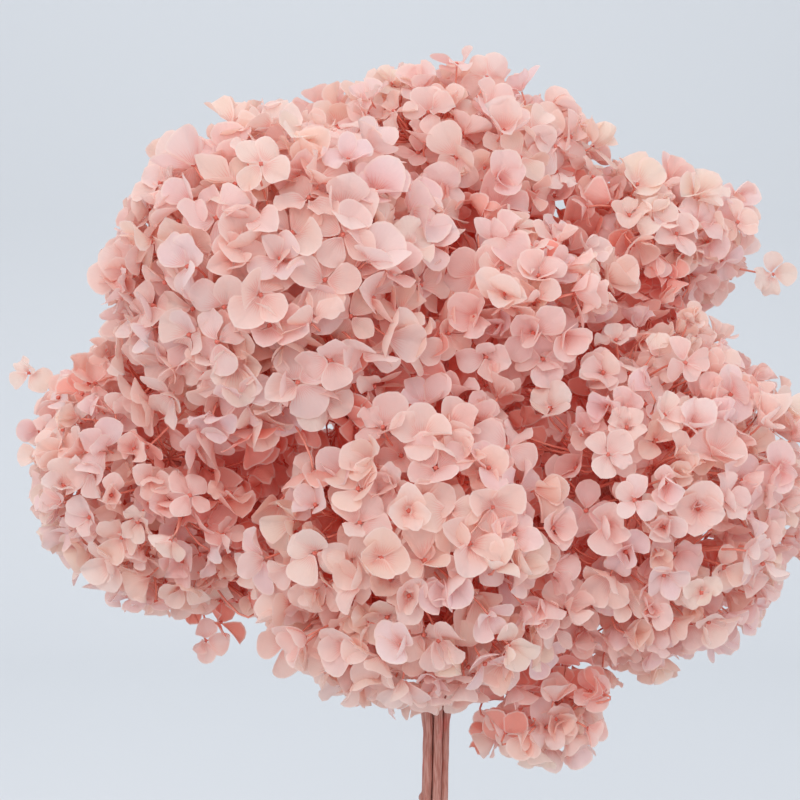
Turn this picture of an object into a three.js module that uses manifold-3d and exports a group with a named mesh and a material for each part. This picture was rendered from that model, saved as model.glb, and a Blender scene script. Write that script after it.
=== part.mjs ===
// A bunch of seven preserved hydrangea stems standing in a clear glass jar.
// Millimetres, +Z up. The origin is the centre of the jar's base, on the surface it stands on.
//
// Each stem ends in one or two rounded lobes of blossom. A lobe is a hollow shell of flower
// clusters round the stem's tip, and the stem reaches every cluster with a branch of its own.

import * as THREE from "three";
import { mergeVertices } from "three/addons/utils/BufferGeometryUtils.js";
import Module from "manifold-3d";

const wasm = await Module();
wasm.setup();

// ---------------------------------------------------------------- driving dimensions

const CONTACT_GAP = 0.3; // left between two pieces that touch

// Jar
const JAR_HEIGHT = 190;
const JAR_RADIUS = 52; // outside of the body
const JAR_WALL = 3;
const JAR_FLOOR = 8;
const JAR_HEEL = 8; // outside rounding between base and side
const JAR_SHOULDER = 34; // height of the curve from side to neck
const NECK_RADIUS = 20; // inside
const NECK_HEIGHT = 24; // from the shoulder to the top of the lip
const LIP_RADIUS = 2.6; // of the rolled lip's section

// Stems
const STEM_RADIUS = 1.65;
const STEMS_ROUND = 6; // round the one in the middle
const FIRST_SLOT = -20; // degrees, where the first of them stands
const FOOT_SPREAD = 6; // how far each cut end stands from the middle of the bunch
const FOOT_CENTRE = new THREE.Vector2(8, 3); // middle of the cut ends on the jar's floor
const GATHER_DEPTH = 14; // below the lip, where the stems have come together
const LEAN_SIDE = 30; // degrees, where the bunch leans on the lip
const FAN_HEIGHT = 45; // above the lip, where the stems start to part
const NODE_BULGE = 0.8; // how far a leaf scar's swelling stands out from its stem
const NODE_SWELL = 0.35; // how much wider than its stem the swelling is, in radius
const SIDE_RADIUS = 1.3; // of the side branch to a stem's second lobe
const SIDE_START = 0.3; // where that branch leaves, as a share of the stem's last bend

// Blossom
const HOLLOW_SHARE = 0.42; // how deep a cluster's inner end lies, as a share of the way out
const BRANCH_RADIUS = 1.1; // at the stem's tip
const BRANCH_END_RADIUS = 0.8;
const HUB_RADIUS = 2.6; // swelling where the branches part
const STALK_CLEARANCE = 1.5; // kept free round a stalk that passes a cluster
const CROWN_DEGREES = 66; // between a lobe's middle cluster and the ring round it
const OPEN_RING_DEGREES = 52; // the same where a lobe has a ring and no middle cluster

// Each lobe: its centre measured from the point where the stems part, its radii, and how
// many clusters it has. `middle` says whether one of them sits on the lobe's own axis.
const LOBES = {
  left_top: { at: [-54, -52, 157], radii: [60, 64, 65], clusters: 7, middle: true },
  crown: { at: [-1, 10, 199], radii: [73, 60, 48], clusters: 5, middle: true },
  right_top: { at: [72, 14, 182], radii: [48, 52, 32], clusters: 4, middle: true },
  centre: { at: [25, -38, 147], radii: [36, 50, 42], clusters: 3, middle: false },
  right: { at: [60, -30, 93], radii: [69, 72, 66], clusters: 7, middle: true },
  left: { at: [-89, -19, 99], radii: [60, 70, 57], clusters: 6, middle: true },
  front: { at: [-6, -62, 78], radii: [60, 56, 58], clusters: 6, middle: true },
  hanging: { at: [34, -46, 17], radii: [22, 27, 20], clusters: 3, middle: false },
  back_left: { at: [-66, 46, 112], radii: [68, 62, 75], clusters: 5, middle: true },
  back_right: { at: [49, 50, 103], radii: [72, 60, 66], clusters: 5, middle: true },
};
const HEART = new THREE.Vector3(0, -3, 80); // the lobes face away from this point

// Each stem: its place in the bunch, the lobe at its tip, the lobe on its side branch, and the
// heights of its old leaf scars above the lip.
const STEMS = {
  crown: { slot: null, tip: "crown" },
  right: { slot: 0, tip: "right", side: "centre", scars: [8, -62] },
  back_right: { slot: 1, tip: "back_right", side: "right_top", scars: [-40] },
  back_left: { slot: 2, tip: "back_left", scars: [20, -75] },
  left: { slot: 3, tip: "left", scars: [17, -52] },
  left_top: { slot: 4, tip: "left_top", scars: [-66] },
  front: { slot: 5, tip: "front", side: "hanging", scars: [-30] },
};

// Fineness of the faceted shapes
const JAR_SIDES = 36;
const SHOULDER_STEPS = 7;
const HEEL_STEPS = 3;
const LIP_STEPS = 3;
const STEM_SIDES = 8;
const STEM_STEPS = 18;
const SIDE_STEPS = 6;
const BRANCH_SIDES = 5;
const LOBE_DETAIL = 3;

// ---------------------------------------------------------------- materials

const glass = new THREE.MeshStandardMaterial({
  color: 0xe9f1f0,
  roughness: 0.05,
  metalness: 0,
  transparent: true,
  opacity: 0.35,
});
const stalk = new THREE.MeshStandardMaterial({ color: 0xad7a6e, roughness: 0.75, metalness: 0 });
const petals = new THREE.MeshStandardMaterial({ color: 0xf0c8c0, roughness: 0.65, metalness: 0 });

// ---------------------------------------------------------------- helpers

const UP = new THREE.Vector3(0, 0, 1);
const radians = THREE.MathUtils.degToRad;

// A closed geometry as a solid that can be joined and cut.
function solidOf(geometry) {
  const bare = geometry.clone();
  bare.deleteAttribute("normal");
  bare.deleteAttribute("uv");
  const merged = mergeVertices(bare, 1e-4);
  return new wasm.Manifold(
    new wasm.Mesh({
      numProp: 3,
      vertProperties: merged.attributes.position.array,
      triVerts: new Uint32Array(merged.index.array),
    }),
  );
}

function geometryOf(solid) {
  const mesh = solid.getMesh();
  const geometry = new THREE.BufferGeometry();
  geometry.setAttribute("position", new THREE.BufferAttribute(mesh.vertProperties, 3));
  geometry.setIndex(new THREE.BufferAttribute(mesh.triVerts, 1));
  geometry.computeVertexNormals();
  return geometry;
}

// Everything on the far side of a plane: the points p with p . normal >= (point . normal).
const FAR = 800;
function halfSpace(normal, point) {
  const box = new THREE.BoxGeometry(FAR, FAR, FAR);
  box.translate(0, 0, FAR / 2);
  box.applyQuaternion(new THREE.Quaternion().setFromUnitVectors(UP, normal));
  box.translate(point.x, point.y, point.z);
  return solidOf(box);
}

function roundSection(radius, sides) {
  const points = [];
  for (let i = 0; i < sides; i++) {
    const angle = (2 * Math.PI * i) / sides;
    points.push(new THREE.Vector2(radius * Math.cos(angle), radius * Math.sin(angle)));
  }
  return new THREE.Shape(points);
}

// A round rod along a curve.
function rod(curve, radius, sides, steps) {
  return new THREE.ExtrudeGeometry(roundSection(radius, sides), {
    extrudePath: curve,
    steps,
    bevelEnabled: false,
  });
}

// A straight tapered rod between two points.
function taper(from, to, startRadius, endRadius, sides) {
  const along = to.clone().sub(from);
  const geometry = new THREE.CylinderGeometry(endRadius, startRadius, along.length(), sides);
  geometry.translate(0, along.length() / 2, 0);
  const turn = new THREE.Quaternion();
  turn.setFromUnitVectors(new THREE.Vector3(0, 1, 0), along.normalize());
  geometry.applyQuaternion(turn);
  geometry.translate(from.x, from.y, from.z);
  return geometry;
}

function named(name, geometry, material) {
  const mesh = new THREE.Mesh(geometry, material);
  mesh.name = name;
  return mesh;
}

// ---------------------------------------------------------------- the bunch's own line

// The bunch leans on the lip's inner edge, so the neck fixes where it runs.
const stemPitch = 2 * STEM_RADIUS + CONTACT_GAP;
const bunchRadius = stemPitch + STEM_RADIUS;
const leanOffset = NECK_RADIUS - bunchRadius - 2 * CONTACT_GAP;

const footMiddle = new THREE.Vector3(FOOT_CENTRE.x, FOOT_CENTRE.y, JAR_FLOOR + CONTACT_GAP);
const bunchAtLip = new THREE.Vector3(
  leanOffset * Math.cos(radians(LEAN_SIDE)),
  leanOffset * Math.sin(radians(LEAN_SIDE)),
  JAR_HEIGHT,
);
const bunchAxis = bunchAtLip.clone().sub(footMiddle).normalize();

// The point of the bunch's line at a height.
function onBunch(height) {
  const along = (height - footMiddle.z) / bunchAxis.z;
  return footMiddle.clone().addScaledVector(bunchAxis, along);
}

// Where a stem stands in the bunch, seen along its line: the middle, or one of six round it.
function slotOffset(slot) {
  if (slot === null) return new THREE.Vector3();
  const angle = radians(FIRST_SLOT + (360 * slot) / STEMS_ROUND);
  const flat = new THREE.Vector3(Math.cos(angle), Math.sin(angle), 0);
  flat.addScaledVector(bunchAxis, -flat.dot(bunchAxis));
  return flat.normalize().multiplyScalar(stemPitch);
}

const fanMiddle = onBunch(JAR_HEIGHT + FAN_HEIGHT);

// ---------------------------------------------------------------- lobes and their clusters

function lobeCentre(name) {
  return new THREE.Vector3(...LOBES[name].at).add(fanMiddle);
}

// How far a lobe reaches from its centre in a direction.
function reach(name, direction) {
  const [a, b, c] = LOBES[name].radii;
  return 1 / Math.hypot(direction.x / a, direction.y / b, direction.z / c);
}

// The directions in which a lobe's clusters lie, from its centre.
function clusterDirections(name) {
  const { at, clusters, middle } = LOBES[name];
  const axis = new THREE.Vector3(...at).sub(HEART).normalize();
  const turn = new THREE.Quaternion().setFromUnitVectors(UP, axis);
  const inRing = middle ? clusters - 1 : clusters;
  const slope = radians(middle ? CROWN_DEGREES : OPEN_RING_DEGREES);
  const directions = middle ? [axis] : [];
  for (let i = 0; i < inRing; i++) {
    const angle = (2 * Math.PI * i) / inRing;
    const direction = new THREE.Vector3(
      Math.sin(slope) * Math.cos(angle),
      Math.sin(slope) * Math.sin(angle),
      Math.cos(slope),
    );
    directions.push(direction.applyQuaternion(turn));
  }
  return directions;
}

// The middle of a cluster's inner end, where its branch arrives.
function innerEnd(name, direction) {
  const depth = reach(name, direction) * HOLLOW_SHARE;
  return lobeCentre(name).addScaledVector(direction, depth);
}

// The part of space nearer to one lobe than to another, where the two meet.
function sideOfLobe(name, other) {
  const from = lobeCentre(name);
  const towards = lobeCentre(other).sub(from);
  const apart = towards.length();
  towards.normalize();
  const own = reach(name, towards);
  const theirs = reach(other, towards);
  const share = (apart ** 2 + own ** 2 - theirs ** 2) / (2 * apart ** 2);
  const wall = from.clone().addScaledVector(towards, share * apart - CONTACT_GAP / 2);
  return halfSpace(towards.clone().negate(), wall);
}

// One cluster: the lobe's rounded outside, between its neighbours, down to its inner end.
function clusterSolid(name, directions, index) {
  const centre = lobeCentre(name);
  const direction = directions[index];
  const ball = new THREE.IcosahedronGeometry(1, LOBE_DETAIL);
  ball.scale(...LOBES[name].radii);
  ball.translate(centre.x, centre.y, centre.z);
  let solid = solidOf(ball).intersect(halfSpace(direction, innerEnd(name, direction)));
  directions.forEach((other, i) => {
    if (i === index) return;
    const normal = direction.clone().sub(other).normalize();
    const wall = centre.clone().addScaledVector(normal, CONTACT_GAP / 2);
    solid = solid.intersect(halfSpace(normal, wall));
  });
  for (const other of Object.keys(LOBES)) {
    if (other !== name) solid = solid.intersect(sideOfLobe(name, other));
  }
  return solid;
}

// ---------------------------------------------------------------- stems

// A stem's stalk: from its cut end up into the neck, straight on to where the bunch parts,
// and in one bend to the middle of its lobe.
function stalkCurve(stem) {
  const offset = slotOffset(stem.slot);
  const spread = offset.clone().setZ(0).setLength(stem.slot === null ? 0 : FOOT_SPREAD);
  const foot = footMiddle.clone().add(spread);
  const gatherHeight = JAR_HEIGHT - GATHER_DEPTH;
  const gathered = onBunch(gatherHeight).add(offset);
  const below = onBunch((footMiddle.z + gatherHeight) / 2).add(offset);
  const part = fanMiddle.clone().add(offset);
  const tip = lobeCentre(stem.tip);
  const bend = part.clone().addScaledVector(bunchAxis, (tip.z - part.z) / 2);
  const path = new THREE.CurvePath();
  path.add(new THREE.QuadraticBezierCurve3(foot, below, gathered));
  path.add(new THREE.LineCurve3(gathered, part));
  path.add(new THREE.QuadraticBezierCurve3(part, bend, tip));
  return path;
}

// The swelling of an old leaf scar, on the side of the stem that faces out of the bunch.
function leafScar(stem, heightAboveLip) {
  const height = JAR_HEIGHT + heightAboveLip;
  const bend = stalkCurve(stem).curves.find((curve) => curve.getPoint(1).z >= height);
  const [low, high] = [bend.getPoint(0).z, bend.getPoint(1).z];
  const place = bend.getPoint((height - low) / (high - low));
  const outwards = slotOffset(stem.slot).setLength(NODE_BULGE);
  const swelling = new THREE.IcosahedronGeometry(STEM_RADIUS + NODE_SWELL, 1);
  swelling.translate(place.x + outwards.x, place.y + outwards.y, place.z + outwards.z);
  return solidOf(swelling);
}

// A side branch leaves the stalk's last bend and runs to the second lobe.
function sideCurve(stem) {
  const bend = stalkCurve(stem).curves[2];
  const start = bend.getPoint(SIDE_START);
  const end = lobeCentre(stem.side);
  const lift = bend.getTangent(SIDE_START).multiplyScalar(start.distanceTo(end) / 4);
  return new THREE.QuadraticBezierCurve3(start, start.clone().add(lift), end);
}

// The branches that fan out from a stalk's end to the clusters of a lobe.
function branches(lobe) {
  const centre = lobeCentre(lobe);
  const hub = new THREE.IcosahedronGeometry(HUB_RADIUS, 1);
  hub.translate(centre.x, centre.y, centre.z);
  return clusterDirections(lobe).reduce((solid, direction) => {
    const end = innerEnd(lobe, direction).addScaledVector(direction, -CONTACT_GAP);
    const branch = taper(centre, end, BRANCH_RADIUS, BRANCH_END_RADIUS, BRANCH_SIDES);
    return solid.add(solidOf(branch));
  }, solidOf(hub));
}

function stemSolid(stem) {
  const stalkSolid = solidOf(rod(stalkCurve(stem), STEM_RADIUS, STEM_SIDES, STEM_STEPS));
  const scars = stem.scars ?? [];
  const scarred = scars.reduce((solid, height) => solid.add(leafScar(stem, height)), stalkSolid);
  const whole = scarred.add(branches(stem.tip));
  if (!stem.side) return whole;
  const side = solidOf(rod(sideCurve(stem), SIDE_RADIUS, STEM_SIDES, SIDE_STEPS));
  return whole.add(side).add(branches(stem.side));
}

// The straight runs of every stalk above the point where the bunch parts, and of every branch.
// Each has the radius that clusters keep clear of, and the lobe whose own clusters end on it.
function woodyRuns() {
  const runs = [];
  for (const stem of Object.values(STEMS)) {
    const curves = [stalkCurve(stem).curves[2]];
    if (stem.side) curves.push(sideCurve(stem));
    for (const curve of curves) {
      const points = curve.getPoints(SIDE_STEPS);
      for (let i = 0; i < SIDE_STEPS; i++) {
        runs.push({ from: points[i], to: points[i + 1], keep: STEM_RADIUS + STALK_CLEARANCE });
      }
    }
  }
  for (const lobe of Object.keys(LOBES)) {
    for (const direction of clusterDirections(lobe)) {
      const to = innerEnd(lobe, direction);
      runs.push({ from: lobeCentre(lobe), to, keep: HUB_RADIUS + CONTACT_GAP, lobe });
    }
  }
  return runs;
}

// Where a stalk or another lobe's branch would run through a cluster, the cluster ends at a
// wall beside it.
function clearOfRuns(solid, runs) {
  return runs.reduce((kept, { from, to, keep }) => {
    const tube = solidOf(taper(from, to, keep, keep, BRANCH_SIDES));
    if (kept.intersect(tube).volume() === 0) return kept;
    const { min, max } = kept.boundingBox();
    const away = new THREE.Vector3(...min).add(new THREE.Vector3(...max)).multiplyScalar(0.5);
    const along = to.clone().sub(from).normalize();
    away.sub(from);
    away.addScaledVector(along, -away.dot(along)).normalize();
    return kept.intersect(halfSpace(away, from.clone().addScaledVector(away, keep)));
  }, solid);
}

// ---------------------------------------------------------------- jar

// Points of a quarter turn from one point to another, round a corner at (x, y).
function quarter(x, y, radiusX, radiusY, startDegrees, steps) {
  const points = [];
  for (let i = 0; i <= steps; i++) {
    const angle = radians(startDegrees + (90 * i) / steps);
    points.push(new THREE.Vector2(x + radiusX * Math.cos(angle), y + radiusY * Math.sin(angle)));
  }
  return points;
}

// An S-curve between two radii, as a jar's shoulder has.
function shoulder(lowRadius, lowHeight, highRadius, highHeight) {
  const points = [];
  for (let i = 0; i <= SHOULDER_STEPS; i++) {
    const t = i / SHOULDER_STEPS;
    const eased = t * t * (3 - 2 * t);
    const radius = lowRadius + (highRadius - lowRadius) * eased;
    points.push(new THREE.Vector2(radius, lowHeight + (highHeight - lowHeight) * t));
  }
  return points;
}

function glassJar() {
  const neckOutside = NECK_RADIUS + JAR_WALL;
  const neckBottom = JAR_HEIGHT - NECK_HEIGHT;
  const shoulderBottom = neckBottom - JAR_SHOULDER;
  const lipMiddle = JAR_HEIGHT - LIP_RADIUS;
  const inside = JAR_RADIUS - JAR_WALL;
  const innerHeel = JAR_HEEL - JAR_WALL;
  const outline = [
    new THREE.Vector2(0, 0),
    ...quarter(JAR_RADIUS - JAR_HEEL, JAR_HEEL, JAR_HEEL, JAR_HEEL, -90, HEEL_STEPS),
    ...shoulder(JAR_RADIUS, shoulderBottom, neckOutside, neckBottom),
    new THREE.Vector2(neckOutside, lipMiddle - LIP_RADIUS),
    ...quarter(neckOutside, lipMiddle, LIP_RADIUS, LIP_RADIUS, 0, LIP_STEPS),
    new THREE.Vector2(NECK_RADIUS, JAR_HEIGHT),
    ...shoulder(inside, shoulderBottom, NECK_RADIUS, neckBottom).reverse(),
    ...quarter(inside - innerHeel, JAR_FLOOR + innerHeel, innerHeel, innerHeel, -90, HEEL_STEPS)
      .reverse(),
    new THREE.Vector2(0, JAR_FLOOR),
  ];
  const geometry = new THREE.LatheGeometry(outline, JAR_SIDES);
  geometry.rotateX(Math.PI / 2);
  return named("glass_jar", geometry, glass);
}

// ---------------------------------------------------------------- the whole

const bunch = new THREE.Group();
for (const [name, stem] of Object.entries(STEMS)) {
  bunch.add(named(`stem_${name}`, geometryOf(stemSolid(stem)), stalk));
}
const runs = woodyRuns();
for (const name of Object.keys(LOBES)) {
  const directions = clusterDirections(name);
  const passing = runs.filter((run) => run.lobe !== name);
  directions.forEach((_, i) => {
    const solid = clearOfRuns(clusterSolid(name, directions, i), passing);
    bunch.add(named(`cluster_${name}_${i + 1}`, geometryOf(solid), petals));
  });
}

const hydrangea = new THREE.Group();
hydrangea.add(glassJar(), bunch);

export default hydrangea;
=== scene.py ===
# %% [markdown]
# # A preserved hydrangea bunch in a glass jar
# The frame gives the real places and sizes: a jar, seven stems, and the rounded solids that
# the flower clusters fill. This script turns each cluster solid into separate florets, spins
# a finer jar, gives the stems their bark, and sets up a plain studio. Lengths are written in
# millimetres and turned to metres once, by MM.

# %% Load the frame
import math

import bpy
import numpy as np
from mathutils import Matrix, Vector, noise
from mathutils.bvhtree import BVHTree


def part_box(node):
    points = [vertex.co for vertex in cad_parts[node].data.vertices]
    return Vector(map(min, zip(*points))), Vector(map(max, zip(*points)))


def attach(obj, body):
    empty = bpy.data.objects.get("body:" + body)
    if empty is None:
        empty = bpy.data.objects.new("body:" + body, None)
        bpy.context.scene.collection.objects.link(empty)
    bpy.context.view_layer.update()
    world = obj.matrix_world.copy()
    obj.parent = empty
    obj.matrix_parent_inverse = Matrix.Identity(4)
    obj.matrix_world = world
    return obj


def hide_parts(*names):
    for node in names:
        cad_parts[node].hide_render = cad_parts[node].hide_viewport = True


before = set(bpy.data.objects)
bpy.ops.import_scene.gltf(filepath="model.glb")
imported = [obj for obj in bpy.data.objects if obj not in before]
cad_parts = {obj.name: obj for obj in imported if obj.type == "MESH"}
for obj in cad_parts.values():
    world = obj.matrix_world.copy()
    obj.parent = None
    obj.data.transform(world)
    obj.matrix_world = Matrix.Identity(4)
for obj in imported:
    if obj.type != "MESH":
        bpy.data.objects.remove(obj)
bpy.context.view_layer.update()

MM = 0.001
SEED = 11
rng = np.random.default_rng(SEED)

stem_names = sorted(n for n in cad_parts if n.startswith("stem_"))
cluster_names = sorted(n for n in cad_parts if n.startswith("cluster_"))
print(f"{len(stem_names)} stems, {len(cluster_names)} flower clusters and one jar")


# %% Measure what the studio and the pieces need
def points_of(name):
    """The corners of a frame node, as rows of x, y, z in metres."""
    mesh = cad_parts[name].data
    flat = np.zeros(len(mesh.vertices) * 3, np.float32)
    mesh.vertices.foreach_get("co", flat)
    return flat.reshape(-1, 3).astype(float)


BARE_STEM = 30 * MM  # the length above the lip that shows where the stems stand

jar_low, jar_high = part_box("glass_jar")
blossom = np.concatenate([points_of(n) for n in cluster_names])
blossom_low, blossom_high = blossom.min(0), blossom.max(0)

stem_points = np.concatenate([points_of(n) for n in stem_names])
above_lip = stem_points[
    (stem_points[:, 2] > jar_high.z) & (stem_points[:, 2] < jar_high.z + BARE_STEM)
]
stems_x, stems_y = (above_lip[:, :2].min(0) + above_lip[:, :2].max(0)) / 2
print(f"blossom spans {np.round((blossom_high - blossom_low) / MM)} mm")
print(f"stems leave the jar at x {stems_x / MM:.1f} mm, y {stems_y / MM:.1f} mm")

# %% [markdown]
# ## The studio
# A portrait lens at arm's length sees the bunch from straight in front, level with its
# middle. That near a view makes the front florets a little larger than those at the sides,
# as the eye sees a bouquet. The floor sweeps up into a wall, so no horizon line cuts behind
# the flowers in this view.

# %% Camera
CAMERA_DISTANCE = 500 * MM  # from the stems
CAMERA_LENS = 60  # on a 36 mm wide sensor
CAMERA_ELEVATION = math.radians(2)
AIM_LEFT = 13 * MM  # of the stems, as the bunch is wider on that side
AIM_ABOVE_MIDDLE = 1 * MM

aim = Vector(
    (
        stems_x - AIM_LEFT,
        stems_y,
        (blossom_low[2] + blossom_high[2]) / 2 + AIM_ABOVE_MIDDLE,
    )
)
look = Vector((0, math.cos(CAMERA_ELEVATION), -math.sin(CAMERA_ELEVATION)))
camera = bpy.data.objects.new("camera", bpy.data.cameras.new("camera"))
camera.data.lens = CAMERA_LENS
camera.data.clip_start = 10 * MM
camera.location = aim - look * CAMERA_DISTANCE
camera.rotation_mode = "QUATERNION"
camera.rotation_quaternion = look.to_track_quat("-Z", "Y")
bpy.context.scene.collection.objects.link(camera)
bpy.context.scene.camera = camera
print(f"camera at {[round(v, 3) for v in camera.location]}")


# %% Two helpers for colours and nodes
def linear(hex_colour):
    """An sRGB colour such as '#F2D9CC' as linear red, green, blue and an alpha of 1."""
    parts = [int(hex_colour[i : i + 2], 16) / 255 for i in (1, 3, 5)]
    curve = [p / 12.92 if p <= 0.04045 else ((p + 0.055) / 1.055) ** 2.4 for p in parts]
    return (*curve, 1.0)


def add_node(material, kind, sockets=(), **settings):
    """Adds a node with its settings. Each socket takes a number, a hex colour or an output."""
    node = material.node_tree.nodes.new(kind)
    for key, value in settings.items():
        setattr(node, key, value)
    for key, value in dict(sockets).items():
        if isinstance(value, bpy.types.NodeSocket):
            material.node_tree.links.new(value, node.inputs[key])
        else:
            value = linear(value) if isinstance(value, str) else value
            node.inputs[key].default_value = value
    return node


# %% Floor, wall and light
WALL_BEHIND = 1.7  # metres behind the jar
SWEEP_RADIUS = 0.6
STUDIO_WIDTH = 7.0
FLOOR_FRONT = -3.5
WALL_HEIGHT = 3.2
SWEEP_STEPS = 24

profile = [(FLOOR_FRONT, 0.0)]
for i in range(SWEEP_STEPS + 1):
    turn = math.pi / 2 * i / SWEEP_STEPS
    profile.append(
        (
            WALL_BEHIND - SWEEP_RADIUS + SWEEP_RADIUS * math.sin(turn),
            SWEEP_RADIUS - SWEEP_RADIUS * math.cos(turn),
        )
    )
profile.append((WALL_BEHIND, WALL_HEIGHT))
sweep_points = [(side * STUDIO_WIDTH / 2, y, z) for y, z in profile for side in (-1, 1)]
sweep_faces = [(2 * i, 2 * i + 1, 2 * i + 3, 2 * i + 2) for i in range(len(profile) - 1)]
sweep_mesh = bpy.data.meshes.new("floor")
sweep_mesh.from_pydata(sweep_points, [], sweep_faces)
sweep_mesh.polygons.foreach_set("use_smooth", [True] * len(sweep_faces))
floor = bpy.data.objects.new("floor", sweep_mesh)
bpy.context.scene.collection.objects.link(floor)

paper = bpy.data.materials.new("matte_backdrop_paper")
paper.use_nodes = True
PAPER_COLOUR = "#D9DBDD"
paper.node_tree.nodes["Principled BSDF"].inputs["Base Color"].default_value = linear(PAPER_COLOUR)
paper.node_tree.nodes["Principled BSDF"].inputs["Roughness"].default_value = 0.9
sweep_mesh.materials.append(paper)


def soft_box(name, place, size, power, colour, target):
    """A square studio light that faces a point."""
    light = bpy.data.lights.new(name, "AREA")
    light.shape = "SQUARE"
    light.size = size
    light.energy = power
    light.color = linear(colour)[:3]
    lamp = bpy.data.objects.new(name, light)
    lamp.location = place
    lamp.rotation_mode = "QUATERNION"
    lamp.rotation_quaternion = (Vector(target) - Vector(place)).to_track_quat("-Z", "Y")
    bpy.context.scene.collection.objects.link(lamp)
    return lamp


soft_box("key_light", (-0.4, -1.45, 1.1), 1.2, 9.2, "#FFFAF4", aim)
soft_box("side_light", (1.5, -0.7, 0.9), 1.4, 2.5, "#F4F6FF", aim)
soft_box("top_light", (0.1, 0.5, 1.9), 1.2, 5, "#FFFFFF", aim)
soft_box("wall_light", (-0.6, 0.6, 2.6), 1.6, 7, "#F2F6FF", (0.0, WALL_BEHIND, 0.6))

world = bpy.data.worlds.new("studio")
world.use_nodes = True
world.node_tree.nodes["Background"].inputs["Color"].default_value = linear("#E6EBF2")
world.node_tree.nodes["Background"].inputs["Strength"].default_value = 1.0
scene = bpy.context.scene
scene.world = world
scene.view_settings.view_transform = "Standard"
scene.cycles.max_bounces = 40
scene.cycles.diffuse_bounces = 32
scene.cycles.transmission_bounces = 32
print("studio ready")

# %% [markdown]
# ## Meshes made of many like items
# A cluster holds hundreds of sepals, and every sepal has the same faces. So each kind of
# item is described once, as a template of faces with its own flat texture cell, and numpy
# places all its copies at once. A sepal and a flower's eye are both two discs that share one
# rim, which is a closed solid with a thin edge. Pedicels are capped tubes.


# %% Item templates
def lens_template(rings, sectors):
    """Two discs that share their outermost ring: top, bottom and rim corners, in that order."""
    disc = 1 + (rings - 1) * sectors
    rim = 2 * disc
    faces, flat, cells = [], [], []

    def corner(side, ring, sector):
        sector %= sectors
        if ring == rings:
            return rim + sector
        return side * disc + (0 if ring == 0 else 1 + (ring - 1) * sectors + sector)

    def spot(ring, sector):
        turn = 2 * math.pi * sector / sectors
        reach = 0.5 * ring / rings
        return (0.5 + reach * math.sin(turn), 0.5 - reach * math.cos(turn))

    for side in (0, 1):
        for sector in range(sectors):
            for ring in range(rings):
                place = [(ring, sector), (ring + 1, sector), (ring + 1, sector + 1)]
                if ring > 0:
                    place.append((ring, sector + 1))
                if side == 1:
                    place.reverse()
                faces.append([corner(side, *p) for p in place])
                flat.extend(spot(*p) for p in place)
                cells.extend([side] * len(place))
    corners = rim + sectors
    return {
        "faces": faces,
        "flat": flat,
        "cells": cells,
        "corners": corners,
        "rim": rim,
        "uses": 2,
    }


def lens_rings(rings, sectors):
    """For each corner of a lens: its share of the way out, its angle, and its side of 1 or -1."""
    inner = [(0.0, 0.0)] + [
        (ring / rings, 2 * math.pi * sector / sectors)
        for ring in range(1, rings)
        for sector in range(sectors)
    ]
    rim = [(1.0, 2 * math.pi * sector / sectors) for sector in range(sectors)]
    out, turn = np.array(inner + inner + rim).T
    side = np.array([1.0] * len(inner) + [-1.0] * len(inner) + [0.0] * sectors)
    return out, turn, side


def tube_template(steps, sides):
    """A capped tube: rings of corners from one end to the other."""
    faces, flat = [], []
    for step in range(steps):
        for side in range(sides):
            corners = [(step, side), (step, side + 1), (step + 1, side + 1), (step + 1, side)]
            faces.append([s * sides + k % sides for s, k in corners])
            flat.extend((k / sides, 0.9 * s / steps) for s, k in corners)
    faces.append(list(reversed(range(sides))))
    faces.append([steps * sides + k for k in range(sides)])
    for middle in (0.25, 0.75):
        for k in range(sides):
            turn = 2 * math.pi * k / sides
            flat.append((middle + 0.04 * math.cos(turn), 0.95 + 0.04 * math.sin(turn)))
    corners = (steps + 1) * sides
    return {
        "faces": faces,
        "flat": flat,
        "cells": [0] * len(flat),
        "corners": corners,
        "rim": corners,
        "uses": 1,
    }


# %% A piece that gathers copies of the templates
CELL_MARGIN = 0.05  # of a cell of the flat map, left free on each side


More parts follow.
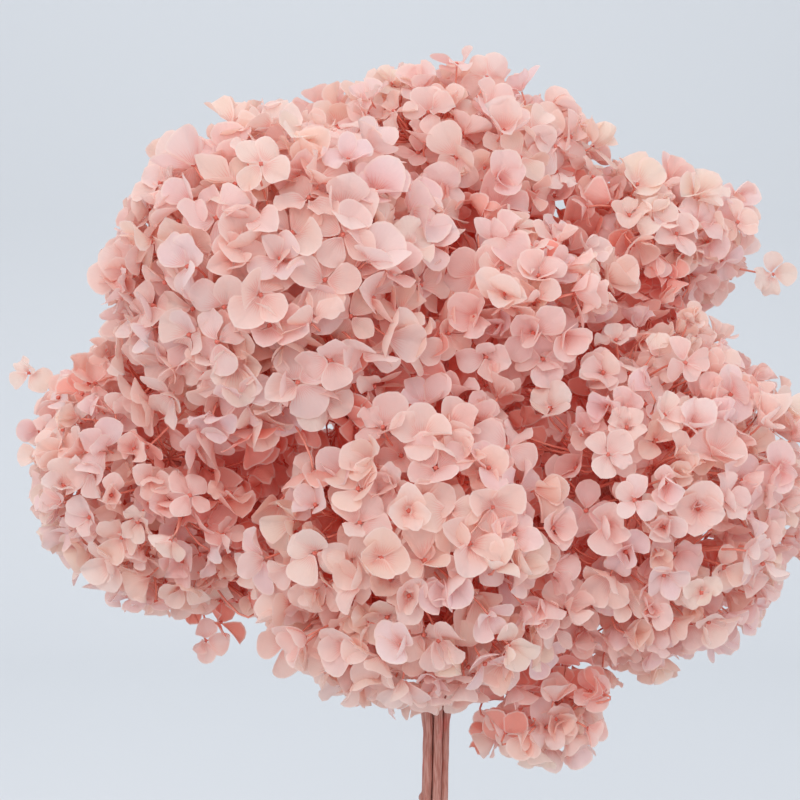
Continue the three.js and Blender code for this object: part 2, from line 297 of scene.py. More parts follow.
class Gathered:
    """Collects copies of templates and turns them into one mesh object."""

    def __init__(self):
        self.points, self.loops, self.counts, self.flat, self.cells = [], [], [], [], []
        self.place, self.tint, self.finish, self.rims = [], [], [], []
        self.corners = 0
        self.used = 0

    def add(self, template, points, place, tint, finish):
        """points is (copies, corners, 3); place and tint are the same shape; finish a slot."""
        copies = len(points)
        if copies == 0:
            return
        loops = np.concatenate(template["faces"])
        counts = np.array([len(f) for f in template["faces"]])
        starts = self.corners + np.arange(copies) * template["corners"]
        self.points.append(points.reshape(-1, 3))
        self.loops.append((starts[:, None] + loops).ravel())
        self.counts.append(np.tile(counts, copies))
        self.flat.append(np.tile(np.array(template["flat"]), (copies, 1)))
        first = self.used + np.arange(copies) * template["uses"]
        self.cells.append((first[:, None] + np.array(template["cells"])).ravel())
        self.place.append(np.broadcast_to(place, points.shape).reshape(-1, 3))
        self.tint.append(np.broadcast_to(tint, points.shape).reshape(-1, 3))
        self.finish.append(np.full(len(counts) * copies, finish))
        self.rims.append(np.tile(np.arange(template["corners"]) >= template["rim"], copies))
        self.corners += copies * template["corners"]
        self.used += copies * template["uses"]

    def build(self, name, materials):
        """The gathered copies as one object, with its attributes and its flat map."""
        points = np.concatenate(self.points)
        loops = np.concatenate(self.loops)
        counts = np.concatenate(self.counts)
        mesh = bpy.data.meshes.new(name)
        mesh.vertices.add(len(points))
        mesh.vertices.foreach_set("co", points.astype(np.float32).ravel())
        mesh.loops.add(len(loops))
        mesh.loops.foreach_set("vertex_index", loops.astype(np.int32))
        mesh.polygons.add(len(counts))
        starts = np.concatenate([[0], np.cumsum(counts)[:-1]])
        mesh.polygons.foreach_set("loop_start", starts.astype(np.int32))
        mesh.polygons.foreach_set("material_index", np.concatenate(self.finish).astype(np.int32))
        mesh.polygons.foreach_set("use_smooth", np.ones(len(counts), bool))
        for key, rows in (("petal_place", self.place), ("petal_tone_and_shade", self.tint)):
            attribute = mesh.attributes.new(key, "FLOAT_VECTOR", "POINT")
            attribute.data.foreach_set("vector", np.concatenate(rows).astype(np.float32).ravel())
        across = math.ceil(math.sqrt(self.used))
        cells = np.concatenate(self.cells)
        corner = np.stack([cells % across, cells // across], 1)
        flat = (corner + CELL_MARGIN + (1 - 2 * CELL_MARGIN) * np.concatenate(self.flat)) / across
        mesh.uv_layers.new(name="OFBake").data.foreach_set("uv", flat.astype(np.float32).ravel())
        mesh.update(calc_edges=True)
        ends = np.zeros(len(mesh.edges) * 2, np.int32)
        mesh.edges.foreach_get("vertices", ends)
        rims = np.concatenate(self.rims)
        sharp = mesh.attributes.new("sharp_edge", "BOOLEAN", "EDGE")
        sharp.data.foreach_set("value", rims[ends.reshape(-1, 2)].all(axis=1))
        for material in materials:
            mesh.materials.append(material)
        piece = bpy.data.objects.new(name, mesh)
        bpy.context.scene.collection.objects.link(piece)
        return piece


# %% [markdown]
# ## The shape of a sepal
# What look like petals on a hydrangea are sepals: four broad, rounded blades round a tiny
# bud, in two pairs that overlap. Drying leaves each one cupped, folded or wavy in its own
# way. A sepal is a lens whose outline comes from a rounded blade with a narrow claw, then
# bent along its length, cupped across it, folded on its midrib and waved at its rim.

# %% Sepal maker
SEPAL_THICKNESS = 0.36 * MM
CLAW_WIDTH = 0.34  # of the blade's, where it joins the flower
BLADE_FULLNESS = 0.78  # lower is squarer
BLADE_MIDDLE = 0.54  # of its length, where the rings centre
TIP_WIDTH = 0.42  # radians of the outline that a pointed tip takes up
RAGGED = 0.028  # how far the outline strays, as a share of the length


def sepals(shape, length, width, lift, curl, cup, fold, wave, waves, phase, point, twist):
    """Sepals that leave the origin along +Y. Every argument after shape is one row a sepal."""
    out, turn, side = shape
    column = [np.asarray(v)[:, None] for v in (length, width, lift, curl, cup, fold, wave)]
    length, width, lift, curl, cup, fold, wave = column
    waves, phase, point, twist = [np.asarray(v)[:, None] for v in (waves, phase, point, twist)]
    along_rim = (1 - np.cos(turn)) / 2
    claw = CLAW_WIDTH + (1 - CLAW_WIDTH) * np.clip(along_rim / 0.5, 0, 1) ** 0.9
    rim_x = width / 2 * np.sign(np.sin(turn)) * np.abs(np.sin(turn)) ** BLADE_FULLNESS * claw
    tip = np.exp(-(((turn - math.pi) / TIP_WIDTH) ** 2))
    rim_y = length * (along_rim + point * tip)
    stray = 1 + RAGGED * (np.sin(3 * turn + phase) + np.sin(5 * turn + 2.3 * phase))
    rim_x = rim_x * stray
    x = rim_x * out
    y = length * BLADE_MIDDLE + (rim_y - length * BLADE_MIDDLE) * out
    share = y / length
    height = cup * x**2 / width + fold * np.abs(x)
    height = height + wave * np.sin(waves * turn + phase) * out**3
    height = height + side * SEPAL_THICKNESS / 2 * (1 - 0.55 * out**2)
    rolled = twist * share
    x, height = x * np.cos(rolled) - height * np.sin(rolled), (
        x * np.sin(rolled) + height * np.cos(rolled)
    )
    curl = np.where(np.abs(curl) < 1e-3, 1e-3, curl)
    slope = lift + curl * share
    bent_y = length * (np.sin(slope) - np.sin(lift)) / curl - height * np.sin(slope)
    bent_z = length * (np.cos(lift) - np.cos(slope)) / curl + height * np.cos(slope)
    points = np.stack([x, bent_y, bent_z], -1)
    angle = np.arctan2(rim_x * out, y + 0.12 * length)
    place = np.stack([angle, share + 0 * x, out + 0 * x], -1)
    return points, place


def frames_along(axes, roll):
    """Right-handed frames whose third axis is given, turned about it by roll."""
    helper = np.where(np.abs(axes[:, 2:3]) < 0.9, [[0.0, 0.0, 1.0]], [[1.0, 0.0, 0.0]])
    first = np.cross(helper, axes)
    first /= np.linalg.norm(first, axis=1, keepdims=True)
    second = np.cross(axes, first)
    cosine, sine = np.cos(roll)[:, None], np.sin(roll)[:, None]
    return np.stack([first * cosine + second * sine, second * cosine - first * sine, axes], 1)


# %% [markdown]
# ## Where the florets sit
# Points are thrown at the cluster solids, and each asks how much of the open air it can see.
# A point on a face that touches the next cluster sees none, and gets no floret. One in the
# cleft between two heads sees a little, and gets a floret painted a deeper coral as shade:
# the less open air it sees, the deeper. The points that are kept stand a set distance apart,
# as crowded florets do.

# %% Throw points at the clusters
CANDIDATES = 620  # a cluster
SIGHT_ANGLES = (0, 35, 62)  # degrees off the face's normal
SIGHTS_ROUND = (1, 4, 6)
SIGHT_LENGTH = 500 * MM
OPEN_ENOUGH = 0.05  # share of sight lines that a floret needs


def triangles_of(name):
    """A frame node's triangles as corner points, (triangles, 3, 3)."""
    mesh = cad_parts[name].data
    mesh.calc_loop_triangles()
    index = np.zeros(len(mesh.loop_triangles) * 3, np.int32)
    mesh.loop_triangles.foreach_get("vertices", index)
    return points_of(name)[index.reshape(-1, 3)]


cluster_triangles = {name: triangles_of(name) for name in cluster_names}
every_triangle = np.concatenate(list(cluster_triangles.values()))
blossom_tree = BVHTree.FromPolygons(
    every_triangle.reshape(-1, 3).tolist(),
    np.arange(len(every_triangle) * 3).reshape(-1, 3).tolist(),
)


def thrown_points(name, count):
    """Random points on a cluster solid and the normals of the faces that they lie on."""
    a, b, c = cluster_triangles[name].transpose(1, 0, 2)
    cross = np.cross(b - a, c - a)
    area = np.linalg.norm(cross, axis=1)
    pick = rng.choice(len(a), count, p=area / area.sum())
    u, v = rng.random((2, count, 1))
    flip = u + v > 1
    u, v = np.where(flip, 1 - u, u), np.where(flip, 1 - v, v)
    points = a[pick] + u * (b - a)[pick] + v * (c - a)[pick]
    return points, cross[pick] / area[pick][:, None]


def openness(point, normal):
    """The share of lines of sight from a point that leave the bunch freely."""
    (axes,) = frames_along(normal[None], np.zeros(1))
    free = total = 0
    start = Vector(point + normal * MM)
    for angle, count in zip(SIGHT_ANGLES, SIGHTS_ROUND):
        slope = math.radians(angle)
        for k in range(count):
            turn = 2 * math.pi * k / count
            level = math.sin(slope)
            local = np.array([level * math.cos(turn), level * math.sin(turn), math.cos(slope)])
            total += 1
            free += blossom_tree.ray_cast(start, Vector(local @ axes), SIGHT_LENGTH)[0] is None
    return free / total


seen = []
for cluster_index, name in enumerate(cluster_names):
    points, normals = thrown_points(name, CANDIDATES)
    for point, normal in zip(points, normals):
        share = openness(point, normal)
        if share > OPEN_ENOUGH:
            seen.append((cluster_index, *point, *normal, share))
seen = np.array(seen)
seen = seen[rng.permutation(len(seen))]
print(f"{len(seen)} of {CANDIDATES * len(cluster_names)} thrown points see open air")

# %% Keep points a set distance apart, in layers
HEADS = {  # a head's floret size, its sepals' rise in degrees, and its inset in mm
    "left_top": (1.10, 16, 3),
    "crown": (1.00, 24, 1),
    "centre": (0.96, 32, 1),
    "right_top": (0.92, 28, 3),
    "right": (0.87, 42, 1),
    "left": (0.90, 36, 5),
    "front": (0.96, 32, 2),
    "hanging": (0.86, 30, 3),
    "back_left": (0.92, 30, 3),
    "back_right": (0.92, 30, 3),
}
LAYERS = {  # spacing and depth of each floret layer in mm, and how much painted shade deepens it
    "outer": {"spacing": 10.7, "depth": 4.0, "spread": 2.5, "dye": 0.0, "fine": True},
    "under": {"spacing": 12.0, "depth": 10.0, "spread": 3.0, "dye": 0.1, "fine": False},
    "inner": {"spacing": 16.0, "depth": 19.0, "spread": 3.0, "dye": 0.3, "fine": False},
}
CLEFT_REACH = 14.0  # mm that florets grow out of a surface that sees no open air
CLEFT_FALL = 1.6  # how fast that reach fades as a surface sees more open air
UNDERSIDE_INSET = 3.0  # mm more for florets that face straight down
STRAY_TURN = 90 * MM  # how far in front of its head a stray floret looks
STRAYS = [  # florets that stand out of the bunch, in mm from where the stems leave the jar
    (126, 0, 215),
    (114, 6, 244),
    (-150, -6, 178),
    (-82, -30, 84),
]


def head_of(name):
    """The head that a cluster belongs to, such as left_top for cluster_left_top_3."""
    return name.removeprefix("cluster_").rsplit("_", 1)[0]


def spaced(rows, spacing):
    """Rows whose points stand at least a spacing apart, taken in order."""
    kept = np.zeros((0, 3))
    chosen = []
    for index, point in enumerate(rows[:, 1:4]):
        if len(kept) == 0 or ((kept - point) ** 2).sum(1).min() > spacing**2:
            kept = np.vstack([kept, point])
            chosen.append(index)
    return rows[chosen]


insets = np.array([HEADS[head_of(name)][2] for name in cluster_names])
layer_rows = {}
for layer, plan in LAYERS.items():
    rows = spaced(seen[rng.permutation(len(seen))], plan["spacing"] * MM)
    depth = plan["depth"] + plan["spread"] * rng.standard_normal(len(rows))
    depth += insets[rows[:, 0].astype(int)] + UNDERSIDE_INSET * np.clip(-rows[:, 6], 0, 1)
    depth = (depth - CLEFT_REACH * np.clip(1 - CLEFT_FALL * rows[:, 7], 0, 1)) * MM
    rows = rows.copy()
    rows[:, 1:4] -= rows[:, 4:7] * depth[:, None]
    layer_rows[layer] = rows
    print(f"{layer} layer: {len(rows)} florets")

cluster_middles = np.array([points_of(name).mean(0) for name in cluster_names])
for stray in STRAYS:
    place = np.array(stray) * MM + (stems_x, stems_y, jar_high.z)
    nearest = int(np.argmin(((cluster_middles - place) ** 2).sum(1)))
    facing = place - cluster_middles[nearest] + (0, -STRAY_TURN, 0)
    facing /= np.linalg.norm(facing)
    layer_rows["outer"] = np.vstack([layer_rows["outer"], [nearest, *place, *facing, 1.0]])

# %% [markdown]
# ## Florets
# Each floret is four sepals, an eye and a pedicel. Its axis leans away from the surface by
# a random tilt, because crowded florets push each other over. The heads at the upper left
# open flatter and larger; those at the right are smaller and more cupped.

# %% Floret maker
FINE, COARSE = (4, 18), (3, 16)
EYE = (2, 8)
templates = {grid: lens_template(*grid) for grid in (FINE, COARSE, EYE)}
shapes = {grid: lens_rings(*grid) for grid in (FINE, COARSE, EYE)}
PEDICEL_STEPS, PEDICEL_SIDES = 5, 5
pedicel_template = tube_template(PEDICEL_STEPS, PEDICEL_SIDES)

SEPAL_LENGTH = 9.4 * MM
SEPAL_WIDTH_SHARE = 1.08
SEPALS_EACH = 4
FLORET_SIZES = (0.8, 1.16)  # least and most, times the head's own size
SEPAL_SIZES = (0.86, 1.14)
SEPAL_WIDTHS = (0.78, 1.14)
FINE_LEAN, COARSE_LEAN = 30, 38  # degrees that florets tilt off the surface
OPENING_SWAY = 19  # degrees that one floret opens more or less than its head's others
TINT_SPREAD = 0.09  # between the sepals of one floret
EYE_RADIUS = 0.75 * MM
EYE_BULGE = 0.8 * MM
EYE_HEIGHT = 1.0 * MM
CLAW_START = 0.7 * MM  # from the floret's axis
PEDICEL_RADIUS = 0.42 * MM
PEDICEL_TIP_RADIUS = PEDICEL_RADIUS * 0.85
RAY_RADIUS = 0.65 * MM
RAYS = 5  # in each cluster
RAY_SHARE = 0.45  # of the way from a branch end to its florets, where a ray forks
PEDICEL_PULL = 9 * MM  # that a pedicel runs straight behind its floret


def sway(count, degrees):
    """Normally spread angles in radians."""
    return np.radians(degrees) * rng.standard_normal(count)


def add_florets(piece, rows, head, dye, fine):
    """Adds the florets of one layer and cluster to its piece, and gives their frames."""
    count = len(rows)
    size, rise, _ = HEADS[head]
    lean = np.abs(sway(count, FINE_LEAN if fine else COARSE_LEAN))
    axes = frames_along(rows[:, 4:7], rng.uniform(0, 2 * math.pi, count))
    axis = axes[:, 2] * np.cos(lean)[:, None] + axes[:, 0] * np.sin(lean)[:, None]
    axes = frames_along(axis, rng.uniform(0, 2 * math.pi, count))
    scale = size * rng.uniform(*FLORET_SIZES, count)
    opening = np.radians(rise) + sway(count, OPENING_SWAY)
    # The third share is painted shade: the less open air a floret sees, and the deeper its layer,
    # the deeper coral its sepals are painted.
    tint = np.stack([rng.random(count), rng.random(count), 1 - rows[:, 7] + dye], 1)
    grid = FINE if fine else COARSE
    for k in range(SEPALS_EACH):
        upper = k % 2
        length = SEPAL_LENGTH * scale * rng.uniform(*SEPAL_SIZES, count)
        points, place = sepals(
            shapes[grid],
            length=length,
            width=length * SEPAL_WIDTH_SHARE * rng.uniform(*SEPAL_WIDTHS, count),
            lift=opening + sway(count, 15) + math.radians(5) * upper,
            curl=sway(count, 32) - 0.12,
            cup=rng.normal(0.35, 0.6, count),
            fold=np.abs(rng.normal(0, 0.28, count)),
            wave=np.abs(rng.normal(0.45, 0.4, count)) * MM,
            waves=rng.integers(2, 6, count),
            phase=rng.uniform(0, 2 * math.pi, count),
            point=np.clip(rng.normal(0.03, 0.06, count), 0, 0.16),
            twist=sway(count, 12),
        )
        points[..., 1] += CLAW_START
        points[..., 2] += (0.25 + 0.5 * upper) * MM
        turn = k * 2 * math.pi / SEPALS_EACH + sway(count, 7)
        cosine, sine = np.cos(turn)[:, None], np.sin(turn)[:, None]
        x, y = points[..., 0], points[..., 1]
        points = np.stack([x * cosine - y * sine, x * sine + y * cosine, points[..., 2]], -1)
        points = np.einsum("nvk,nkc->nvc", points, axes) + rows[:, None, 1:4]
        own = tint + rng.normal(0, TINT_SPREAD, (count, 3)) * (1, 1, 0.3)
        piece.add(templates[grid], points, place, own[:, None], 0)
    out, turn, side = shapes[EYE]
    reach = EYE_RADIUS * (1 + 0.22 * np.cos(4 * turn)) * out
    bulge = side * EYE_BULGE * (1 - out**2)
    eye = np.stack([reach * np.sin(turn), -reach * np.cos(turn), bulge], -1)
    eye = eye + [0, 0, EYE_HEIGHT]
    eye = np.einsum("vk,nkc->nvc", eye, axes) + rows[:, None, 1:4]
    piece.add(templates[EYE], eye, np.zeros(3), tint[:, None], 1)
    return axes


def add_tubes(piece, starts, bends, ends, start_radius, end_radius):
    """Adds tubes along quadratic curves from starts to ends, pulled towards bends."""
    t = np.linspace(0, 1, PEDICEL_STEPS + 1)[None, :, None]
    a, b, c = starts[:, None], bends[:, None], ends[:, None]
    line = a * (1 - t) ** 2 + 2 * b * t * (1 - t) + c * t**2
    heading = (b - a) * (1 - t) + (c - b) * t
    heading /= np.maximum(np.linalg.norm(heading, axis=2, keepdims=True), 1e-9)
    count = len(starts)
    flat_heading = heading.reshape(-1, 3)
    axes = frames_along(flat_heading, np.zeros(len(flat_heading)))
    axes = axes.reshape(count, PEDICEL_STEPS + 1, 3, 3)
    turn = 2 * math.pi * np.arange(PEDICEL_SIDES) / PEDICEL_SIDES
    radius = start_radius + (end_radius - start_radius) * t
    ring = (
        axes[:, :, None, 0] * np.cos(turn)[None, None, :, None]
        + axes[:, :, None, 1] * np.sin(turn)[None, None, :, None]
    )
    points = line[:, :, None] + ring * radius[..., None]
    points = points.reshape(count, -1, 3)
    piece.add(pedicel_template, points, np.zeros(3), np.zeros(3), 2)


# %% Where each cluster's branch ends
stem_tree_points = np.concatenate([points_of(n) for n in stem_names])


def branch_end(name):
    """The point of the stems nearest to a cluster solid, which is the end of its branch."""
    low, high = (np.array(corner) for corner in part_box(name))
    near = stem_tree_points[
        np.all((stem_tree_points > low - 4 * MM) & (stem_tree_points < high + 4 * MM), axis=1)
    ]
    triangles = cluster_triangles[name]
    tree = BVHTree.FromPolygons(
        triangles.reshape(-1, 3).tolist(),
        np.arange(len(triangles) * 3).reshape(-1, 3).tolist(),
    )
    distances = [tree.find_nearest(Vector(p))[3] for p in near]
    return near[int(np.argmin(distances))], min(distances)


branch_ends = {name: branch_end(name) for name in cluster_names}
widest = max(gap for _, gap in branch_ends.values())
print(f"branches end within {widest / MM:.1f} mm of their clusters")

# %% [markdown]
# ## Finishes
# Preserved hydrangea has had its sap replaced by glycerine and dye. The sepals stay supple
# and thin, so they scatter light from the front and also let it through from behind. That
# second path turns the depths of the bunch coral: light that has crossed several sepals
# has lost nearly all but its red. Painted shade adds to it, as hidden florets and inner
# layers get a deeper coral colour. A rough dielectric mixed with a translucent shader does
# both. Glycerine leaves the rim and the face pale, and gathers colour at the claw.


# %% Sepal finish
def new_material(name):
    """A material with an empty node tree but for its output."""
    material = bpy.data.materials.new(name)
    material.use_nodes = True
    nodes = material.node_tree.nodes
    nodes.remove(nodes["Principled BSDF"])
    return material, nodes["Material Output"]


VEIN_SPACING = 0.13  # radians between neighbouring veins at the claw

sepal, sepal_output = new_material("glycerine_preserved_sepal")
place = add_node(sepal, "ShaderNodeAttribute", attribute_name="petal_place").outputs["Vector"]
tint = add_node(sepal, "ShaderNodeAttribute", attribute_name="petal_tone_and_shade").outputs["Vector"]
angle, along, out = add_node(sepal, "ShaderNodeSeparateXYZ", {"Vector": place}).outputs
warm, light, painted_shade_depth = add_node(sepal, "ShaderNodeSeparateXYZ", {"Vector": tint}).outputs
where = add_node(sepal, "ShaderNodeTexCoord").outputs["Object"]

# Each step is a smooth one: a source, its low and high value, and what they turn into.
mottle = add_node(
    sepal, "ShaderNodeTexNoise", {"Vector": where, "Scale": 1 / (7 * MM), "Detail": 2.0}
).outputs["Fac"]
steps = {
    "mottled": (mottle, 0.4, 0.75, 0.0, 0.35),
    # painted shade: hidden florets and inner layers turn deeper coral
    "dyed": (painted_shade_depth, 0.4, 1.2, 0.0, 0.72),
    "claw": (along, 0.0, 0.42, 0.3, 0.0),
    "vein_fade": (along, 0.12, 0.55, 0.6, 0.0),
    "rim": (out, 0.84, 0.97, 0.0, 0.8),
}
STEP_SOCKETS = ("Value", "From Min", "From Max", "To Min", "To Max")
share = {
    name: add_node(
        sepal,
        "ShaderNodeMapRange",
        dict(zip(STEP_SOCKETS, step)),
        interpolation_type="SMOOTHSTEP",
    ).outputs["Result"]
    for name, step in steps.items()
}
share["peach"] = add_node(
    sepal, "ShaderNodeMath", {0: light, 1: 0.5}, operation="MULTIPLY"
).outputs[0]

shifted = add_node(sepal, "ShaderNodeMath", {0: angle, 1: 10.0}, operation="ADD").outputs[0]
vein_wave = add_node(
    sepal, "ShaderNodeMath", {0: shifted, 1: VEIN_SPACING / 2}, operation="PINGPONG"
).outputs[0]
vein_line = add_node(
    sepal,
    "ShaderNodeMapRange",
    dict(zip(STEP_SOCKETS, (vein_wave, 0.0, VEIN_SPACING * 0.16, 1.0, 0.0))),
    interpolation_type="SMOOTHSTEP",
).outputs["Result"]
share["vein"] = add_node(
    sepal, "ShaderNodeMath", {0: vein_line, 1: share["vein_fade"]}, operation="MULTIPLY"
).outputs[0]

face = add_node(
    sepal, "ShaderNodeMix", {0: warm, 6: "#FCF7EE", 7: "#FBF1F3"}, data_type="RGBA"
).outputs[2]
for name, colour in (
    ("peach", "#FEE4DA"),
    ("mottled", "#FCF7F3"),
    ("dyed", "#FFB9A6"),
    # FFB9A6 is the painted shade colour of hidden florets
    ("claw", "#FEBFB1"),
    ("vein", "#E4776B"),
    ("rim", "#FFF7F2"),
):
    layered = {0: share[name], 6: face, 7: colour}
    face = add_node(sepal, "ShaderNodeMix", layered, data_type="RGBA").outputs[2]

crease = add_node(
    sepal, "ShaderNodeTexNoise", {"Vector": where, "Scale": 1 / (1.6 * MM), "Detail": 3.0}
).outputs["Fac"]
half_vein = add_node(
    sepal, "ShaderNodeMath", {0: vein_line, 1: 0.5}, operation="MULTIPLY"
).outputs[0]
raised = add_node(sepal, "ShaderNodeMath", {0: crease, 1: half_vein}, operation="ADD").outputs[0]
relief = add_node(
    sepal, "ShaderNodeBump", {"Height": raised, "Strength": 0.25, "Distance": 0.25 * MM}
).outputs["Normal"]
blade = add_node(
    sepal,
    "ShaderNodeBsdfPrincipled",
    {"Base Color": face, "Normal": relief, "Roughness": 0.62, "Specular IOR Level": 0.3},
).outputs[0]
through = add_node(
    sepal, "ShaderNodeMix", {0: 0.25, 6: face, 7: "#FFD2C5"}, data_type="RGBA"
).outputs[2]
glow = add_node(sepal, "ShaderNodeBsdfTranslucent", {"Color": through, "Normal": relief}).outputs[0]
THROUGH_SHARE = 0.56
both = add_node(sepal, "ShaderNodeMixShader", {0: THROUGH_SHARE, 1: blade, 2: glow}).outputs[0]
sepal.node_tree.links.new(both, sepal_output.inputs["Surface"])
print(f"{len(sepal.node_tree.nodes)} nodes make the sepal finish")

# %% Eye and pedicel finishes
small_finishes = []
for name, grain_size, dark, pale, roughness in (
    ("dried_flower_eye", 0.5 * MM, "#C9483E", "#EE9482", 0.6),
    ("dyed_pedicel", 3 * MM, "#DC7563", "#F3AC99", 0.65),
):
    finish, output = new_material(name)
    where = add_node(finish, "ShaderNodeTexCoord").outputs["Object"]
    grain = add_node(
        finish, "ShaderNodeTexNoise", {"Vector": where, "Scale": 1 / grain_size}
    ).outputs["Fac"]
    colour = add_node(
        finish, "ShaderNodeMix", {0: grain, 6: dark, 7: pale}, data_type="RGBA"
    ).outputs[2]
    surface = add_node(
        finish, "ShaderNodeBsdfPrincipled", {"Base Color": colour, "Roughness": roughness}
    ).outputs[0]
    finish.node_tree.links.new(surface, output.inputs["Surface"])
    small_finishes.append(finish)
eye_finish, pedicel_finish = small_finishes
print("sepal, eye and pedicel finishes ready")

# %% Build the clusters
faces_made = 0
for cluster_index, name in enumerate(cluster_names):
    gathered = Gathered()
    hub = branch_ends[name][0]
    bases, backs = [], []
    for layer, plan in LAYERS.items():
        rows = layer_rows[layer]
        rows = rows[rows[:, 0] == cluster_index]
        if len(rows) == 0:
            continue
        axes = add_florets(gathered, rows, head_of(name), plan["dye"], plan["fine"])
        bases.append(rows[:, 1:4])
        backs.append(-axes[:, 2])
    bases, backs = np.concatenate(bases), np.concatenate(backs)
    rays = min(RAYS, len(bases))
    chosen = [0]
    while len(chosen) < rays:
        gap = np.min([((bases - bases[k]) ** 2).sum(1) for k in chosen], axis=0)
        chosen.append(int(np.argmax(gap)))
    group = np.argmin([((bases - bases[k]) ** 2).sum(1) for k in chosen], axis=0)
    forks = np.array([hub + RAY_SHARE * (bases[group == k].mean(0) - hub) for k in range(rays)])
    hubs = np.repeat(hub[None], rays, 0)
    add_tubes(gathered, hubs, (hubs + forks) / 2, forks, RAY_RADIUS, PEDICEL_RADIUS)
    bends = bases + backs * PEDICEL_PULL
    add_tubes(gathered, forks[group], bends, bases, PEDICEL_RADIUS, PEDICEL_TIP_RADIUS)
    piece = gathered.build(name.replace("cluster", "florets"), [sepal, eye_finish, pedicel_finish])
    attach(piece, "root")
    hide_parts(name)
    faces_made += len(piece.data.polygons)
print(f"{faces_made} faces of blossom")

# %% [markdown]
# ## The stems
# The stems grew as wood: ribbed along their length, where the bark dried onto the fibres.
# The frame's stems are plain rods. Remeshed finely, they join up where branches meet, and a
# noise that is stretched along the stem can raise ribs and furrows of about a tenth of a
# millimetre. Real height beats a bump map here, because the ribs show at the outline.

# %% Remesh and rib the stems
VOXEL = 0.42 * MM
SMOOTHINGS = 4
RIB_HEIGHT = 0.22 * MM
RIB_WIDTH = 0.55 * MM
RIB_STRETCH = 14  # times longer than wide
KNOT_HEIGHT = 0.18 * MM
KNOT_SPACING = 9 * MM


def remeshed(name, source):
    """A fine, closed copy of a frame mesh, with smooth joints."""
    copy = bpy.data.objects.new(name, source.data.copy())
    bpy.context.scene.collection.objects.link(copy)
    modifier = copy.modifiers.new("remesh", "REMESH")
    modifier.mode = "VOXEL"
    modifier.voxel_size = VOXEL
    modifier = copy.modifiers.new("smooth", "SMOOTH")
    modifier.iterations = SMOOTHINGS
    modifier.factor = 0.5
    bpy.context.view_layer.update()
    evaluated = copy.evaluated_get(bpy.context.evaluated_depsgraph_get())
    mesh = bpy.data.meshes.new_from_object(evaluated)
    bpy.data.objects.remove(copy)
    return mesh


def rib_mesh(mesh):
    """Pushes a mesh's corners along their normals into ribs that run upwards."""
    places = np.zeros(len(mesh.vertices) * 3, np.float32)
    normals = np.zeros(len(mesh.vertices) * 3, np.float32)
    mesh.vertices.foreach_get("co", places)
    mesh.vertices.foreach_get("normal", normals)
    places, normals = places.reshape(-1, 3), normals.reshape(-1, 3)
    across = places / np.array([RIB_WIDTH, RIB_WIDTH, RIB_WIDTH * RIB_STRETCH])
    ribs = np.array([noise.noise(Vector(p)) for p in across.tolist()])
    knots = np.array([noise.noise(Vector(p)) for p in (places / KNOT_SPACING).tolist()])
    raised = places + normals * (RIB_HEIGHT * ribs + KNOT_HEIGHT * knots)[:, None]
    mesh.vertices.foreach_set("co", raised.astype(np.float32).ravel())
    mesh.update()


# %% Bark finish, and the ribbed stems
bark, bark_output = new_material("dried_ribbed_bark")
where = add_node(bark, "ShaderNodeTexCoord").outputs["Object"]
stretched = add_node(
    bark, "ShaderNodeMapping", {"Vector": where, "Scale": (1, 1, 1 / RIB_STRETCH)}
).outputs[0]
fibre = add_node(
    bark, "ShaderNodeTexNoise", {"Vector": stretched, "Scale": 1 / (0.5 * MM), "Detail": 4.0}
).outputs["Fac"]
blotch = add_node(
    bark, "ShaderNodeTexNoise", {"Vector": where, "Scale": 1 / (9 * MM), "Detail": 2.0}
).outputs["Fac"]
speck = add_node(
    bark, "ShaderNodeTexVoronoi", {"Vector": where, "Scale": 1 / (1.3 * MM)}
).outputs["Distance"]
wood = "#B26F60"
for colour, step in (
    ("#CF988A", (fibre, 0.35, 0.65, 0.0, 1.0)),
    ("#D0655A", (blotch, 0.5, 0.68, 0.0, 0.65)),
    ("#8A5348", (speck, 0.06, 0.16, 0.3, 0.0)),
):
    amount = add_node(
        bark,
        "ShaderNodeMapRange",
        dict(zip(STEP_SOCKETS, step)),
        interpolation_type="SMOOTHSTEP",
    ).outputs["Result"]
    layered = {0: amount, 6: wood, 7: colour}
    wood = add_node(bark, "ShaderNodeMix", layered, data_type="RGBA").outputs[2]
bark_relief = add_node(
    bark, "ShaderNodeBump", {"Height": fibre, "Strength": 0.4, "Distance": 0.15 * MM}
).outputs["Normal"]
woody = add_node(
    bark,
    "ShaderNodeBsdfPrincipled",
    {"Base Color": wood, "Normal": bark_relief, "Roughness": 0.68},
).outputs[0]
bark.node_tree.links.new(woody, bark_output.inputs["Surface"])

for name in stem_names:
    mesh = remeshed("ribbed_" + name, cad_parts[name])
    rib_mesh(mesh)
    mesh.materials.clear()
    mesh.materials.append(bark)
    mesh.polygons.foreach_set("use_smooth", [True] * len(mesh.polygons))
    piece = bpy.data.objects.new("ribbed_" + name, mesh)
    bpy.context.scene.collection.objects.link(piece)
    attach(piece, "root")
    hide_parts(name)
    print(f"{name}: {len(mesh.polygons)} faces")

# %% [markdown]
# ## The glass jar
# A blown or pressed jar is a solid of revolution. The frame's jar has flat sides that would
# show as facets in the glass, so its measures are read here and a round one is spun from
# them. Both skins of the wall are drawn, because glass bends light where it enters and
# again where it leaves.

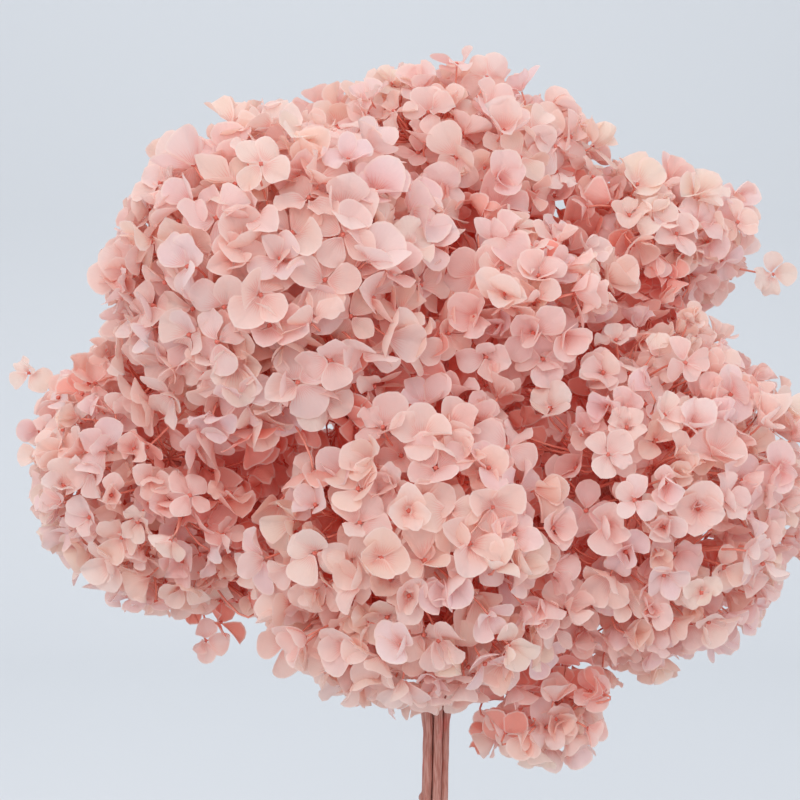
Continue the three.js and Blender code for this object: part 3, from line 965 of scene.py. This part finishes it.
# %% Read the jar's measures
jar_points = points_of("glass_jar")
radius = np.hypot(jar_points[:, 0], jar_points[:, 1])
height = jar_points[:, 2]
jar_top = height.max()
body_outside = radius.max()
floor_top = height[(radius < MM) & (height > MM)].max()
low_inside = (height > floor_top + 0.1 * MM) & (height < 0.4 * jar_top)
body_inside = radius[low_inside & (radius < body_outside - MM)].max()
heel = height[radius > body_outside - 0.01 * MM].min()
inner_heel = height[low_inside & (radius > body_inside - 0.01 * MM)].min() - floor_top
upper = height > 0.4 * jar_top
neck_inside = radius[upper].min()
shoulder_low = height[upper].min()
neck_low = height[upper & (radius < neck_inside + 0.01 * MM)].min()
neck_outside = radius[upper & (np.abs(height - neck_low) < 0.1 * MM)].max()
lip = radius[height > neck_low + MM].max() - neck_outside
print(
    f"jar {jar_top / MM:.0f} mm high, {2 * body_outside / MM:.0f} mm across, "
    f"neck {2 * neck_inside / MM:.0f} mm inside, wall {(body_outside - body_inside) / MM:.0f} mm"
)

# %% Spin the jar
SPIN_STEPS = 144
MOUTH_ROUNDING = 1.2 * MM


def arc(x, z, size, first, last, steps):
    """Points on a circle's arc between two angles in degrees."""
    turns = np.radians(np.linspace(first, last, steps))
    return [(x + size * math.cos(t), z + size * math.sin(t)) for t in turns]


def s_curve(low_radius, low, high_radius, high, steps=30):
    """The shoulder, which eases from one radius to the other."""
    t = np.linspace(0, 1, steps)
    eased = t * t * (3 - 2 * t)
    return list(zip(low_radius + (high_radius - low_radius) * eased, low + (high - low) * t))


outline = arc(body_outside - heel, heel, heel, -90, 0, 14)
outline += s_curve(body_outside, shoulder_low, neck_outside, neck_low)
outline += arc(neck_outside, jar_top - lip, lip, -90, 90, 18)
outline += arc(
    neck_inside + MOUTH_ROUNDING, jar_top - MOUTH_ROUNDING, MOUTH_ROUNDING, 90, 180, 8
)
outline += s_curve(body_inside, shoulder_low, neck_inside, neck_low)[::-1]
outline += arc(body_inside - inner_heel, floor_top + inner_heel, inner_heel, 0, -90, 12)
ring = np.array(outline)
turns = 2 * math.pi * np.arange(SPIN_STEPS) / SPIN_STEPS
spun = np.stack(
    [
        ring[:, None, 0] * np.cos(turns),
        ring[:, None, 0] * np.sin(turns),
        np.repeat(ring[:, None, 1], SPIN_STEPS, 1),
    ],
    -1,
).reshape(-1, 3)
spun = np.vstack([spun, [[0, 0, 0], [0, 0, floor_top]]])
under_centre, floor_centre = len(spun) - 2, len(spun) - 1
jar_faces = []
for row in range(len(ring) - 1):
    for k in range(SPIN_STEPS):
        after = (k + 1) % SPIN_STEPS
        a, b = row * SPIN_STEPS, (row + 1) * SPIN_STEPS
        jar_faces.append((a + k, a + after, b + after, b + k))
last = (len(ring) - 1) * SPIN_STEPS
for k in range(SPIN_STEPS):
    after = (k + 1) % SPIN_STEPS
    jar_faces.append((after, k, under_centre))
    jar_faces.append((last + k, last + after, floor_centre))
jar_mesh = bpy.data.meshes.new("round_glass_jar")
jar_mesh.from_pydata(spun.tolist(), [], jar_faces)
jar_mesh.polygons.foreach_set("use_smooth", [True] * len(jar_faces))
jar_mesh.update()

glass, glass_output = new_material("clear_pressed_glass")
clear = add_node(
    glass,
    "ShaderNodeBsdfPrincipled",
    {"Base Color": "#FDFFFE", "Roughness": 0.02, "IOR": 1.52, "Transmission Weight": 1.0},
).outputs[0]
lit = add_node(glass, "ShaderNodeBsdfTransparent", {"Color": "#FEFFFF"}).outputs[0]
shade = add_node(glass, "ShaderNodeLightPath").outputs["Is Shadow Ray"]
passing = add_node(glass, "ShaderNodeMixShader", {0: shade, 1: clear, 2: lit}).outputs[0]
glass.node_tree.links.new(passing, glass_output.inputs["Surface"])
jar_mesh.materials.append(glass)
jar_piece = bpy.data.objects.new("round_glass_jar", jar_mesh)
bpy.context.scene.collection.objects.link(jar_piece)
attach(jar_piece, "root")
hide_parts("glass_jar")
print(f"jar spun with {len(jar_faces)} faces")
